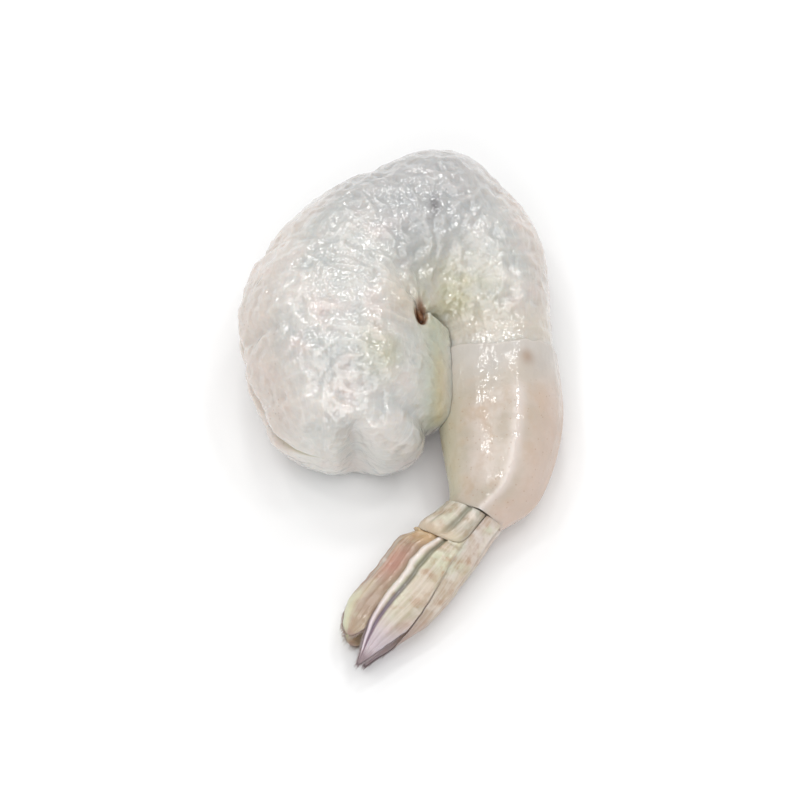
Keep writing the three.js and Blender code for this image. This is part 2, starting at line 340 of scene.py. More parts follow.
for vert in flesh.verts:
    if lump_strength[vert] <= 0:
        continue
    spot = vert.co.copy()
    pillows = abs(noise.noise(spot / PILLOW_SIZE)) * 0.7
    pillows += abs(noise.noise(spot / PUCKER_SIZE + Vector((7, 3, 1)))) * 0.35
    swell = noise.noise(spot / SWELL_SIZE + Vector((2, 8, 5)))
    rise = lump_strength[vert] * (PILLOW_HEIGHT * (pillows - 0.25) + SWELL_HEIGHT * swell)
    vert.co = spot + vert.normal * rise
    if vert[flow].x < FRONT_LEG and vert[flow].z < 0.5 and spot.x > 0 and -15 < spot.y < 1:
        wall = tail_wall(vert.co.y, vert.co.z) + PRESSED_IN
        vert.co.x = min(vert.co.x, max(wall, spot.x - 0.5))
    from_pit = math.hypot((spot.x - PIT.x) / PIT_HALF_WIDTH, (spot.y - PIT.y) / PIT_HALF_LENGTH)
    vert.co.z = max(vert.co.z - PIT_DEPTH * math.exp(-from_pit ** 3) * (spot.z > 6), 0)
    # Painted shade: the deep pit is coloured dark brown, to stand for the shade down in the hole.
    in_pit_shade = math.exp(-(from_pit * 0.85) ** 4)
    yellow_green = max(0.85 * in_mark(spot, *YELLOW_PATCH), 0.7 * in_mark(spot, *GREEN_PATCH))
    # The valley where the cut half lies against the tail: its own grey-green to ochre tint, darkened as
    # painted shade.
    in_shaded_valley = bump(vert.co.x, VALLEY_PLACE, VALLEY_WIDTH) * between(spot.y, *VALLEY_LENGTH)
    ochre = smooth(3.6, 5.2, vert.co.x) * (1 - smooth(-9, -5, spot.y))
    on_top = smooth(5, 8, spot.z)
    vert[fold] = Vector((in_pit_shade, yellow_green, in_shaded_valley)) * on_top
    vert[marks] = Vector((in_mark(spot, *GREY_SPOT), in_mark(spot, *PIT_HALO), ochre)) * on_top
set_in_frame(flesh)


def paint(red, green, blue):
    """A colour from its shares of 255, as a screen shows it."""
    return (*Color((red / 255, green / 255, blue / 255)).from_srgb_to_scene_linear(), 1)


def finish_piece(bm, name, skin, slot, *nodes):
    """Turns the faces outwards and makes the piece, in the place of its plain solids."""
    bmesh.ops.recalc_face_normals(bm, faces=bm.faces)
    for face in bm.faces:
        face.smooth = True
    mesh = bpy.data.meshes.new(name)
    bm.to_mesh(mesh)
    bm.free()
    mesh.materials.append(skin)
    piece = bpy.data.objects.new(name, mesh)
    bpy.context.scene.collection.objects.link(piece)
    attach(piece, "root")
    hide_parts(*nodes)


def new_skin(name):
    skin = bpy.data.materials.new(name)
    skin.use_nodes = True
    return skin, skin.node_tree, skin.node_tree.nodes["Principled BSDF"]


def add_node(tree, kind, inputs, **settings):
    made = tree.nodes.new(kind)
    for name, value in settings.items():
        setattr(made, name, value)
    for key, value in inputs.items():
        if isinstance(value, bpy.types.NodeSocket):
            tree.links.new(value, made.inputs[key])
        else:
            made.inputs[key].default_value = value
    return made


def object_coords(tree):
    return add_node(tree, "ShaderNodeTexCoord", {}).outputs["Object"]


def attribute(tree, name):
    """A piece's own attribute, whole and in its three parts."""
    found = add_node(tree, "ShaderNodeAttribute", {}, attribute_name=name)
    parts = add_node(tree, "ShaderNodeSeparateXYZ", {0: found.outputs["Vector"]})
    return found.outputs["Vector"], *parts.outputs


def mottle(tree, coords, size, detail=2.0, rough=0.5):
    """A cloudy pattern, with clouds of about that many units."""
    inputs = {"Vector": coords, "Scale": 1 / size, "Detail": detail, "Roughness": rough}
    return add_node(tree, "ShaderNodeTexNoise", inputs).outputs[0]


def stretched(tree, coords, scale):
    return add_node(tree, "ShaderNodeMapping", {"Vector": coords, "Scale": scale}).outputs[0]


def ranged(tree, value, low, high, least=0.0, most=1.0):
    inputs = {0: value, 1: low, 2: high, 3: least, 4: most}
    return add_node(tree, "ShaderNodeMapRange", inputs, interpolation_type="SMOOTHSTEP").outputs[0]


def maths(tree, operation, *values, **settings):
    inputs = dict(enumerate(values))
    return add_node(tree, "ShaderNodeMath", inputs, operation=operation, **settings).outputs[0]


def times(tree, first, second):
    return maths(tree, "MULTIPLY", first, second)


def dots(tree, coords, per_metre, edge, most=1.0):
    """Small scattered dots, with an edge between two shares of their spacing."""
    spacing = add_node(tree, "ShaderNodeTexVoronoi", {"Vector": coords, "Scale": per_metre}).outputs[0]
    return ranged(tree, spacing, *edge, most, 0)


def tinted(tree, share, under, over):
    """The under colour, with the over colour laid on it where share is 1."""
    inputs = {0: share, 6: under, 7: over}
    return add_node(tree, "ShaderNodeMix", inputs, data_type="RGBA").outputs[2]


def bumped(tree, height, distance, strength=1.0, under=None):
    inputs = {"Height": height, "Distance": distance, "Strength": strength}
    if under is not None:
        inputs["Normal"] = under
    return add_node(tree, "ShaderNodeBump", inputs).outputs[0]


def lay_relief(tree, shader, relief):
    """The same fine relief on the skin and on the film of water over it."""
    tree.links.new(relief, shader.inputs["Normal"])
    tree.links.new(relief, shader.inputs["Coat Normal"])


def wet(shader, roughness, scatter, film, depth=0.0016, film_roughness=0.05):
    """Raw seafood: light goes a little way in, and a film of water lies on it."""
    shader.inputs["Roughness"].default_value = roughness
    shader.inputs["IOR"].default_value = 1.38
    shader.inputs["Subsurface Weight"].default_value = scatter
    shader.inputs["Subsurface Radius"].default_value = (1.0, 0.75, 0.6)
    shader.inputs["Subsurface Scale"].default_value = depth
    shader.inputs["Coat Weight"].default_value = film
    shader.inputs["Coat Roughness"].default_value = film_roughness
    shader.inputs["Coat IOR"].default_value = 1.75


FLESH_GREY, FLESH_WHITE = paint(184, 185, 182), paint(205, 201, 196)
FAINT_PINK = paint(206, 192, 187)
FIBRE_WHITE, FURROW_WHITE = paint(226, 224, 219), paint(222, 220, 214)
BACK_BEIGE, CURL_SHADE_GREY = paint(202, 187, 176), paint(164, 165, 166)
SPECK_BROWN = paint(140, 110, 96)
HALO_BEIGE, PATCH_YELLOW = paint(196, 180, 164), paint(174, 169, 134)
VALLEY_GREEN_SHADE, VALLEY_OCHRE_SHADE = paint(176, 180, 162), paint(182, 170, 128)
CUT_OLIVE, CUT_END_WHITE = paint(176, 174, 146), paint(216, 213, 205)
SPOT_GREY, NEAR_SHELL_BEIGE = paint(98, 95, 97), paint(200, 191, 178)
PIT_SHADE_BROWN = paint(150, 102, 72)

flesh_skin, tree, shader = new_skin("raw_flesh")
wet(shader, roughness=0.3, scatter=0.8, film=1.0, depth=0.0022)
coords = object_coords(tree)
flow_coords, along, _, on_end = attribute(tree, "flow")
_, crease, in_cut, on_back = attribute(tree, "zones")
_, in_pit_shade, yellow_green, in_shaded_valley = attribute(tree, "fold")
_, grey_spot, halo, ochre = attribute(tree, "marks")

clouds = ranged(tree, mottle(tree, coords, 0.0055), 0.34, 0.68)
colour = tinted(tree, clouds, FLESH_GREY, FLESH_WHITE)
pink = ranged(tree, mottle(tree, coords, 0.0038), 0.5, 0.75, 0, 0.6)
colour = tinted(tree, pink, colour, FAINT_PINK)
fibre_coords = stretched(tree, flow_coords, (0.3, 1.6, 1))
fibres = ranged(tree, mottle(tree, fibre_coords, 0.7, 4.0, 0.6), 0.48, 0.7, 0, 0.3)
colour = tinted(tree, fibres, colour, FIBRE_WHITE)
colour = tinted(tree, times(tree, crease, 0.2), colour, FURROW_WHITE)
colour = tinted(tree, ranged(tree, on_back, 0.1, 0.9, 0, 0.6), colour, BACK_BEIGE)
# Painted shade: the top of the curl, which faces away from the front lamps, is greyed down.
shaded_curl_top = times(tree, ranged(tree, along, 26, 36), ranged(tree, along, 44, 54, 1, 0))
colour = tinted(tree, times(tree, shaded_curl_top, 0.7), colour, CURL_SHADE_GREY)
speckled = ranged(tree, mottle(tree, coords, 0.003), 0.5, 0.62, 0, 0.4)
specks = times(tree, dots(tree, coords, 1700, (0.1, 0.22)), times(tree, speckled, on_back))
colour = tinted(tree, specks, colour, SPECK_BROWN)
colour = tinted(tree, times(tree, halo, 0.6), colour, HALO_BEIGE)
uneven = ranged(tree, mottle(tree, coords, 0.0025), 0.3, 0.6, 0.5, 1)
colour = tinted(tree, times(tree, yellow_green, uneven), colour, PATCH_YELLOW)
# Painted shade in the valley between the two legs, laid over its own grey-green to ochre tint.
valley_tint_and_shade = tinted(tree, ochre, VALLEY_GREEN_SHADE, VALLEY_OCHRE_SHADE)
colour = tinted(tree, times(tree, in_shaded_valley, 0.85), colour, valley_tint_and_shade)
colour = tinted(tree, ranged(tree, in_cut, 0.2, 0.9, 0, 0.8), colour, CUT_OLIVE)
colour = tinted(tree, ranged(tree, on_end, 0.1, 0.6, 0, 0.4), colour, CUT_END_WHITE)
colour = tinted(tree, times(tree, grey_spot, 0.9), colour, SPOT_GREY)
joint = (SLICE_LENGTH * (SHELL_START - 0.5), SLICE_LENGTH * (SHELL_START - 0.1))
colour = tinted(tree, ranged(tree, along, *joint, 0, 0.75), colour, NEAR_SHELL_BEIGE)
# Painted shade: dark brown in the pit.
colour = tinted(tree, in_pit_shade, colour, PIT_SHADE_BROWN)
tree.links.new(colour, shader.inputs["Base Color"])

grain = bumped(tree, mottle(tree, coords, 0.0012), 0.0004, 0.7)
lay_relief(tree, shader, bumped(tree, mottle(tree, fibre_coords, 0.5, 3.0), 0.00008, 0.4, grain))
finish_piece(flesh, "peeled_flesh", flesh_skin, "flesh", "flesh")

# ---------------------------------------------------------------- tail shell
# The shell of the last segment, which is left on: a thin horny cup, pinkish beige and shiny,
# with a keel along its back. Its front edge stands a little proud of the flesh it holds.

SHELL_INNER_END, INNER_DISH = 9.6, 0.2
KEEL_HEIGHT, KEEL_WIDTH = 0.22, 0.5
CREST_HEIGHT, CREST_ANGLE, CREST_REACH = 0.16, math.radians(76), 0.16
STREAK_ANGLE, STREAK_REACH = math.radians(73), math.radians(7)
END_HOLLOW, END_RIM, END_KNOB = 0.25, 0.6, 2.9  # of the rear end, which carries the fan
SHELL_STAIN = (14.3, -7.6), (0.8, 0.9)
shell_heading = slice_at(LAST_SLICE)[0] - slice_at(LAST_SLICE - 0.3)[0]
shell_heading.z = 0
shell_heading.normalize()


def shell_point(place, inset, share, angle):
    """A point of the shell, inset from its outside; share is under 1 on its two end walls."""
    bow = CREASE_BOW * math.sin(angle) ** 2 * (1 - smooth(SHELL_START, SHELL_START + 1, place))
    section = slice_at(place + bow)
    relief = -inset
    bulge = -INNER_DISH * math.sqrt(1 - share * share)
    if not inset:
        relief += KEEL_HEIGHT * bump(math.sin(angle) * section[3], 0, KEEL_WIDTH) * max(math.cos(angle), 0)
        relief += CREST_HEIGHT * bump(angle, CREST_ANGLE, CREST_REACH) * smooth(SHELL_START, 7.6, place)
        rim = END_RIM * smooth(0.93, 0.965, share) - END_HOLLOW
        bulge = smooth(9.5, LAST_SLICE, place) * rim + END_KNOB * (1 - smooth(0.0, 0.5, share))
    wall = on_slice(section, angle, relief, inset)
    return section[0].lerp(wall, share) + shell_heading * bulge


SHELL_COLUMNS = 160
INNER_END_RINGS, INNER_RINGS, EDGE_RINGS, OUTER_RINGS, OUTER_END_RINGS = 8, 40, 6, 130, 30
SHELL_RINGS = INNER_END_RINGS + INNER_RINGS + EDGE_RINGS + OUTER_RINGS + OUTER_END_RINGS


def shell_station(ring):
    """Place, inset and share of a ring, from the inner end over the front edge to the rear end."""
    if ring <= INNER_END_RINGS:
        return SHELL_INNER_END, SHELL_WALL, ring / INNER_END_RINGS
    ring -= INNER_END_RINGS
    if ring <= INNER_RINGS:
        place = mix(SHELL_INNER_END, SHELL_START, ring / INNER_RINGS)
        return place, shell_wall(place), 1
    ring -= INNER_RINGS
    if ring < EDGE_RINGS:
        turn = math.pi * ring / EDGE_RINGS
        return SHELL_START - 0.03 * math.sin(turn), SHELL_LIP * (1 + math.cos(turn)) / 2, 1
    ring -= EDGE_RINGS
    if ring <= OUTER_RINGS:
        return mix(SHELL_START, LAST_SLICE, ring / OUTER_RINGS), 0, 1
    return LAST_SLICE, 0, 1 - ((ring - OUTER_RINGS) / OUTER_END_RINGS) ** 2


shell = bmesh.new()
bmesh.ops.create_uvsphere(shell, u_segments=SHELL_COLUMNS, v_segments=SHELL_RINGS, radius=1)
flow, marks = (shell.verts.layers.float_vector.new(name) for name in ("flow", "marks"))
for vert in shell.verts:
    ring, angle = ring_and_turn(vert, SHELL_RINGS, SHELL_COLUMNS)
    place, inset, share = shell_station(ring)
    vert.co = shell_point(place, inset, share, angle)
    vert[flow] = Vector((place, angle, share))
    stain = in_mark(vert.co, *SHELL_STAIN) * (vert.co.z > 5)
    # Painted highlight: a pale streak along the upper flank, where the lamps' gleam runs down the shell.
    highlight_streak = bump(angle, STREAK_ANGLE, STREAK_REACH) * smooth(SHELL_START + 0.35, 7.8, place)
    vert[marks] = Vector((stain, highlight_streak, 0))
    if not inset:
        dents = 0.14 * noise.noise(vert.co / 3.2 + Vector((4, 4, 1))) + 0.05 * noise.noise(vert.co / 1.1)
        dents *= smooth(SHELL_START, SHELL_START + 0.3, place)
        vert.co.z = max(vert.co.z + dents * math.sin(angle) * share, 0)
    uneven = 0.45 * noise.noise(Vector((angle * 1.3, 2, 6))) + 0.2 * noise.noise(Vector((angle * 6, 5, 1)))
    vert.co.y += uneven * (1 - smooth(SHELL_START, SHELL_START + 0.5, place))
set_in_frame(shell)

SHELL_OLIVE_BEIGE, SHELL_PINK_BEIGE = paint(180, 168, 153), paint(205, 192, 182)
SHELL_TAN, SHELL_ROSE = paint(182, 160, 138), paint(203, 180, 166)
STREAK_HIGHLIGHT_WHITE, BELLY_YELLOW = paint(230, 217, 212), paint(200, 197, 166)
SHELL_SPECK = paint(160, 124, 104)
FRONT_GREY, STAIN_BROWN, REAR_OLIVE = paint(206, 196, 187), paint(152, 118, 92), paint(196, 188, 164)

shell_skin, tree, shader = new_skin("tail_shell")
wet(shader, roughness=0.22, scatter=0.35, film=1.0)
coords = object_coords(tree)
flow_coords, place, around, share = attribute(tree, "flow")
_, stain, highlight_streak, _ = attribute(tree, "marks")

clouds = ranged(tree, mottle(tree, coords, 0.005, 3.0), 0.35, 0.68)
colour = tinted(tree, clouds, SHELL_OLIVE_BEIGE, SHELL_PINK_BEIGE)
tan = ranged(tree, mottle(tree, coords, 0.0026, 3.0), 0.5, 0.7, 0, 0.6)
colour = tinted(tree, tan, colour, SHELL_TAN)
to_back = ranged(tree, around, 0.4, 1.4, 1, 0)
colour = tinted(tree, times(tree, to_back, 0.75), colour, SHELL_ROSE)
# Painted highlight: the pale streak along the crest; the water film is also thickest there.
colour = tinted(tree, times(tree, highlight_streak, 0.55), colour, STREAK_HIGHLIGHT_WHITE)
colour = tinted(tree, ranged(tree, around, 2.0, 3.0, 0, 0.6), colour, BELLY_YELLOW)
colour = tinted(tree, dots(tree, coords, 1500, (0.08, 0.2), 0.3), colour, SHELL_SPECK)
colour = tinted(tree, ranged(tree, place, SHELL_START, SHELL_START + 0.8, 0.8, 0), colour, FRONT_GREY)
colour = tinted(tree, times(tree, stain, 0.6), colour, STAIN_BROWN)
colour = tinted(tree, ranged(tree, share, 0.9, 0.98, 0.8, 0), colour, REAR_OLIVE)
tree.links.new(colour, shader.inputs["Base Color"])

lengthwise = stretched(tree, flow_coords, (1.2, 9, 1))
grain = bumped(tree, mottle(tree, coords, 0.0014, 3.0), 0.00022, 0.6)
lay_relief(tree, shader, bumped(tree, mottle(tree, lengthwise, 0.7, 3.0), 0.00006, 0.5, grain))
film = ranged(tree, mottle(tree, coords, 0.004), 0.4, 0.6, 0.15, 0.5)
tree.links.new(maths(tree, "ADD", film, highlight_streak, use_clamp=True), shader.inputs["Coat Weight"])
finish_piece(shell, "tail_shell_left_on", shell_skin, "shell", "tail_shell")

# ---------------------------------------------------------------- telson
# The stiff pointed spear along the back of the shut fan: thin wet horn with a shallow groove
# between two low ridges. It sits on the end of the tail shell, as the whole fan does.

# The shut fan is an oval that changes along it: shift to the back, half width, half height.
FAN_OVAL = fine_line([Vector(row) for row in (
    (-0.3, 3.2, 2.6), (-0.85, 4.2, 2.8), (-0.95, 4.3, 2.7), (-1.4, 3.7, 2.3), (-0.6, 1.9, 1.5),
)])
FAN_STRETCHES = 4
FAN_LENGTH = 21.5
FAN_JOINT = Vector((8.45, -24.0, 3.85))
FAN_LEAN = 0.23  # its front end is cut on a slant, as the end of the tail shell is
FAN_HEADING, FAN_DROOP = math.radians(-126.8), math.radians(5.3)
fan_axis = Vector((
    math.cos(FAN_HEADING) * math.cos(FAN_DROOP), math.sin(FAN_HEADING) * math.cos(FAN_DROOP),
    -math.sin(FAN_DROOP)))
fan_back = Vector((-math.sin(FAN_HEADING), math.cos(FAN_HEADING), 0))
fan_up = fan_axis.cross(fan_back).normalized()


def in_fan(along, degrees, depth, side):
    """A point in the fan: along it, round its oval from the back, and under its surface."""
    shift, half_across, half_up = on_line(FAN_OVAL, along / FAN_LENGTH * FAN_STRETCHES)
    angle = math.radians(degrees)
    to_back = shift + (half_across - depth) * math.cos(angle)
    up = side * (half_up - depth) * math.sin(angle)
    lean = FAN_LEAN * to_back * (1 - smooth(0, 7, along))
    return FAN_JOINT + fan_axis * (along - lean) + fan_back * to_back + fan_up * up


# A piece of the fan: its two ends along the fan, its two edges in degrees round the oval, the
# share of its width at the root, and how blunt its tip is.
Outline = namedtuple("Outline", "ends edges waist tip")


def share_along(along, outline):
    start, end = outline.ends
    return (along - start) / (end - start)


def half_spread(along, outline):
    """How many degrees to each side of its middle a piece reaches there."""
    share = min(max(share_along(along, outline), 0), 1)
    bluntness, sharpness = outline.tip
    width = mix(outline.waist, 1, smooth(0, 0.4, share)) * (1 - (0.999 * share) ** bluntness) ** sharpness
    ripple = 0.05 * noise.noise(Vector((along * 0.9, outline.edges[0], 2))) * smooth(0.1, 0.4, share)
    return (outline.edges[1] - outline.edges[0]) / 2 * width * (1 + ripple)


def leaf_thinning(share):
    return math.sqrt(max(1 - share ** 7, 0))


LEAF_GAP = 0.03


def under_leaf(along, degrees, outline, thickness):
    """How deep a piece lies that hugs the underside of the piece with this outline."""
    if along > outline.ends[1]:
        return 0
    past = abs(degrees - sum(outline.edges) / 2) - half_spread(along, outline)
    edge_depth = thickness / 2 + LEAF_GAP
    if past > 0:
        return edge_depth * (1 - smooth(0, 7, past))
    inside = min(-past / (outline.edges[1] - outline.edges[0]), 0.5)
    bulge = 2 * math.sqrt(inside * (1 - inside)) * leaf_thinning(share_along(along, outline))
    return edge_depth + thickness / 2 * bulge + LEAF_GAP * smooth(0, 0.04, inside)


LEAF_COLUMNS, LEAF_CAP_RINGS, LEAF_RINGS = 128, 6, 130
LEAF_CAP = 0.12  # how far its closed front end is rounded
FINE_RIB_HEIGHT, FINE_RIBS = 0.02, 52
HAIR_LENGTH, HAIR_FOOT, HAIR_TIP = 0.7, 0.035, 0.006


def hair_jitter(number, seed):
    """A small uneven direction of its own for each hair."""
    spots = (Vector((number * 1.7 + 0.3, seed + 0.4, axis * 3.1 + 0.7)) for axis in range(3))
    return Vector([noise.noise(spot) for spot in spots])


def leaf_mesh(side, outline, tuck, thickness, relief, hairs=0, seed=0):
    """A thin lens-shaped piece on the fan's oval, with a fringe of hairs round its far end."""

    def spot(across, share, face, size=1.0):
        """Across and along the piece, on its lower face at -1, its edge at 0 or its upper at 1."""
        along = mix(outline.ends[0] + LEAF_CAP * (1 - math.sqrt(1 - size * size)), outline.ends[1], share)
        spread = half_spread(mix(*outline.ends, share), outline)
        degrees = sum(outline.edges) / 2 + spread * size * (2 * across - 1)
        lift = thickness / 2 * face * size * leaf_thinning(share)
        if face > 0:
            lift += relief(across, share) * size * min(face * 3, 1)
            lift += FINE_RIB_HEIGHT * math.sin(across * FINE_RIBS + 3 * math.sin(share * 3)) * face
        buckle = 0.2 * noise.noise(Vector((along * 0.35, degrees * side * 0.02, 5)))
        buckle += 0.08 * noise.noise(Vector((along * 1.1, degrees * side * 0.06, 9)))
        lift += buckle * smooth(1, 6, along)
        return in_fan(along, degrees, tuck(along, degrees) + thickness / 2 - lift, side)

    bm = bmesh.new()
    rings = LEAF_CAP_RINGS + LEAF_RINGS
    bmesh.ops.create_uvsphere(bm, u_segments=LEAF_COLUMNS, v_segments=rings, radius=1)
    leaf = bm.verts.layers.float_vector.new("leaf")
    for vert in bm.verts:
        ring, turn = ring_and_turn(vert, rings, LEAF_COLUMNS)
        across = (1 - math.cos(turn)) / 2
        size = math.sin(min(ring / LEAF_CAP_RINGS, 1) * math.pi / 2)
        step = max(ring - LEAF_CAP_RINGS, 0) / LEAF_RINGS
        share = (step + math.sin(step * math.pi / 2)) / 2
        vert.co = spot(across, share, math.sin(turn), size)
        vert[leaf] = Vector((across, share, 0))
    for i in range(hairs):
        share = 1 - 0.4 * abs(2 * (i + 0.5) / hairs - 1) ** 1.2
        across = 0.004 if 2 * i < hairs else 0.996
        foot, inward = spot(across, share, 0), spot(0.5, share, 0)
        jitter = hair_jitter(i, seed)
        outward = (foot - inward).normalized() * (0.75 * (1 - share) + 0.1)
        way = (fan_axis + outward + jitter * 0.16 - fan_up * (0.1 * side)).normalized()
        length = HAIR_LENGTH * (0.75 + 0.5 * abs(jitter.x)) * smooth(0.58, 0.85, share)
        hair = bmesh.ops.create_cone(
            bm, cap_ends=True, segments=4, radius1=HAIR_FOOT, radius2=HAIR_TIP, depth=length)
        turned = way.to_track_quat("Z", "Y")
        for vert in hair["verts"]:
            tip_share = vert.co.z / length + 0.5
            vert.co = foot + turned @ vert.co + way * (length * 0.42)
            vert[leaf] = Vector((across, share, 0.3 + 0.7 * tip_share))
    for vert in bm.verts:
        vert.co.z = max(vert.co.z, 0)
    set_in_frame(bm)
    return bm


HORN_GREEN, HORN_PALE, HORN_STREAK = paint(196, 198, 172), paint(220, 210, 200), paint(220, 208, 198)


def horn(name, root_tone, far_tone, patch_tone, fleck_tone):
    """Thin wet mottled horn, and the values from which the piece's own marks are laid on it."""
    skin, tree, shader = new_skin(name)
    wet(shader, roughness=0.32, scatter=0.4, film=0.5, film_roughness=0.14)
    coords = object_coords(tree)
    leaf, across, along, hair = attribute(tree, "leaf")
    colour = tinted(tree, ranged(tree, along, 0.02, 0.45), root_tone, far_tone)
    patches = mottle(tree, coords, 0.0026, 3.0)
    colour = tinted(tree, ranged(tree, patches, 0.45, 0.62, 0, 0.85), colour, patch_tone)
    greenish = ranged(tree, mottle(tree, coords, 0.0034), 0.52, 0.68, 0, 0.7)
    colour = tinted(tree, greenish, colour, HORN_GREEN)
    pale = ranged(tree, mottle(tree, coords, 0.0021), 0.55, 0.7, 0, 0.6)
    colour = tinted(tree, pale, colour, HORN_PALE)
    flecks = ranged(tree, mottle(tree, coords, 0.0014, 3.0), 0.44, 0.7, 0, 0.8)
    colour = tinted(tree, flecks, colour, fleck_tone)
    streak_coords = stretched(tree, leaf, (24, 2.4, 1))
    streaks = ranged(tree, mottle(tree, streak_coords, 1.2, 3.0), 0.42, 0.66, 0, 0.35)
    colour = tinted(tree, streaks, colour, HORN_STREAK)
    ridges = bumped(tree, mottle(tree, streak_coords, 0.7, 3.0), 0.00008, 0.5)
    lay_relief(tree, shader, bumped(tree, mottle(tree, coords, 0.0011), 0.0002, 0.45, ridges))
    return skin, tree, shader, colour, across, along, hair, patches


def line_at(tree, across, centre, width, most):
    """How much a line lies there that runs along the piece, at a share of its width."""
    off = maths(tree, "ABSOLUTE", maths(tree, "SUBTRACT", across, centre))
    return ranged(tree, off, 0.25 * width, width, most, 0)


ROOT_START, TELSON_END = -0.4, 16.5
LEAF_THICKNESS = 0.5
TELSON_OUTLINE = Outline((ROOT_START, TELSON_END), (-57, 57), 0.98, (2.2, 0.8))
TELSON_HAIRS = 60


def under_shell_rim(along, degrees):
    """A piece on the surface of the fan stands out a little where it meets the tail shell."""
    return -0.12 * (1 - smooth(0.3, 1.4, along))


def telson_relief(across, share):
    ridges = 0.16 * bump(abs(across - 0.5), 0.16, 0.06)
    groove = 0.2 * bump(across, 0.5, 0.09)
    return (ridges - groove) * (1 - share)


telson = leaf_mesh(1, TELSON_OUTLINE, under_shell_rim, LEAF_THICKNESS, telson_relief, TELSON_HAIRS, 1)
# The pale pink at the telson's root is a painted highlight, the shell's gleam streak carried on over the
# joint.
telson_skin, tree, shader, colour, across, along, hair, _ = horn(
    "telson_horn", root_tone=paint(212, 200, 194), far_tone=paint(196, 180, 162),
    patch_tone=paint(180, 160, 138), fleck_tone=paint(168, 136, 110))
groove_brown, edge_mauve = paint(180, 158, 138), paint(204, 186, 188)
tip_brown, hair_brown = paint(150, 128, 124), paint(150, 128, 122)
colour = tinted(tree, line_at(tree, across, 0.5, 0.12, 0.5), colour, groove_brown)
colour = tinted(tree, ranged(tree, across, 0.05, 0.45, 0.6, 0), colour, edge_mauve)
colour = tinted(tree, ranged(tree, along, 0.6, 1.0, 0, 0.8), colour, tip_brown)
colour = tinted(tree, ranged(tree, hair, 0.1, 0.3), colour, hair_brown)
tree.links.new(colour, shader.inputs["Base Color"])
finish_piece(telson, "telson_spear", telson_skin, "shell", "telson")

# ---------------------------------------------------------------- fan stubs
# The short stub on each flank that carries the two blades of that side: thick horn, with a
# round knob of the joint beside the telson and a broad lobe over the roots of the blades.

ROOT_END = 4.3
STUB_THICKNESS = 0.7
STUB_OUTLINE = Outline((ROOT_START, ROOT_END), (56, 172), 0.98, (8, 0.4))
STUB_SEAM = 0.31  # the groove between knob and lobe, as a share of the stub's width


def stub_relief(across, share):
    knob = 0.5 * bump(across, 0.16, 0.09) * bump(share, 0.3, 0.24)
    seam = 0.3 * bump(across, STUB_SEAM, 0.045)
    lobe = 0.3 * bump(across, 0.66, 0.24) - 0.22 * bump(across, 0.62, 0.05) * smooth(0.15, 0.4, share)
    return (knob - seam + lobe) * (1 - smooth(0.75, 1, share))


stub_skin, tree, shader, colour, across, along, _, _ = horn(
    "fan_stub_horn", root_tone=paint(176, 171, 157), far_tone=paint(172, 160, 142),
    patch_tone=paint(184, 180, 165), fleck_tone=paint(160, 138, 112))
seam_olive, rim_tan = paint(134, 130, 110), paint(194, 172, 146)
colour = tinted(tree, line_at(tree, across, STUB_SEAM, 0.08, 0.8), colour, seam_olive)
colour = tinted(tree, ranged(tree, along, 0.5, 1.0, 0, 0.7), colour, rim_tan)
tree.links.new(colour, shader.inputs["Base Color"])
for label, side in (("near", 1), ("far", -1)):
    stub = leaf_mesh(side, STUB_OUTLINE, under_shell_rim, STUB_THICKNESS, stub_relief)
    finish_piece(stub, f"fan_stub_{label}", stub_skin, "shell", f"fan_root_{label}")

# ---------------------------------------------------------------- inner blades
# The inner blade on each side of the fan: a thin horny leaf, tucked under the edge of the
# telson, with a pale ridge along its free edge, a groove beside it with painted shade in it, and a fringed
# tip.

BLADE_START, INNER_END = 1.4, 20.7
FAR_SHORTER = 1.0  # the two sides of a real fan never end quite alike
INNER_OUTLINE = Outline((BLADE_START, INNER_END), (14, 107), 0.8, (3.2, 0.75))
GROOVE, RIDGE = 0.81, 0.93  # as shares of the blade's width
INNER_HAIRS = 200


def under_root(along, degrees):
    """Below the telson and below the stub, and back up to the fan's surface past its end."""
    if along < ROOT_END:
        below_stub = under_leaf(along, degrees, STUB_OUTLINE, STUB_THICKNESS) + 0.05
    else:
        below_stub = 0.4 * (1 - smooth(ROOT_END, ROOT_END + 2.2, along))
    return max(below_stub, under_leaf(along, degrees, TELSON_OUTLINE, LEAF_THICKNESS))


def inner_relief(across, share):
    rib = 0.12 * bump(across, 0.42, 0.07)
    margin = 0.2 * bump(across, RIDGE, 0.055) - 0.3 * bump(across, GROOVE, 0.04)
    return (rib + margin) * between(share, (0.06, 0.2), (0.75, 1))


inner_skin, tree, shader, colour, across, along, hair, patches = horn(
    "inner_blade_horn", root_tone=paint(180, 162, 138), far_tone=paint(196, 182, 164),
    patch_tone=paint(180, 170, 146), fleck_tone=paint(164, 132, 102))
edge_pink, tip_lilac = paint(206, 186, 180), paint(184, 172, 182)
groove_shade_olive, groove_shade_plum = paint(122, 116, 94), paint(108, 88, 110)
ridge_cream, ridge_lilac = paint(222, 208, 200), paint(214, 196, 204)
tip_plum, hair_plum = paint(116, 98, 106), paint(140, 120, 122)
colour = tinted(tree, ranged(tree, across, 0.05, 0.4, 0.6, 0), colour, edge_pink)
colour = tinted(tree, ranged(tree, along, 0.62, 0.86, 0, 0.85), colour, tip_lilac)
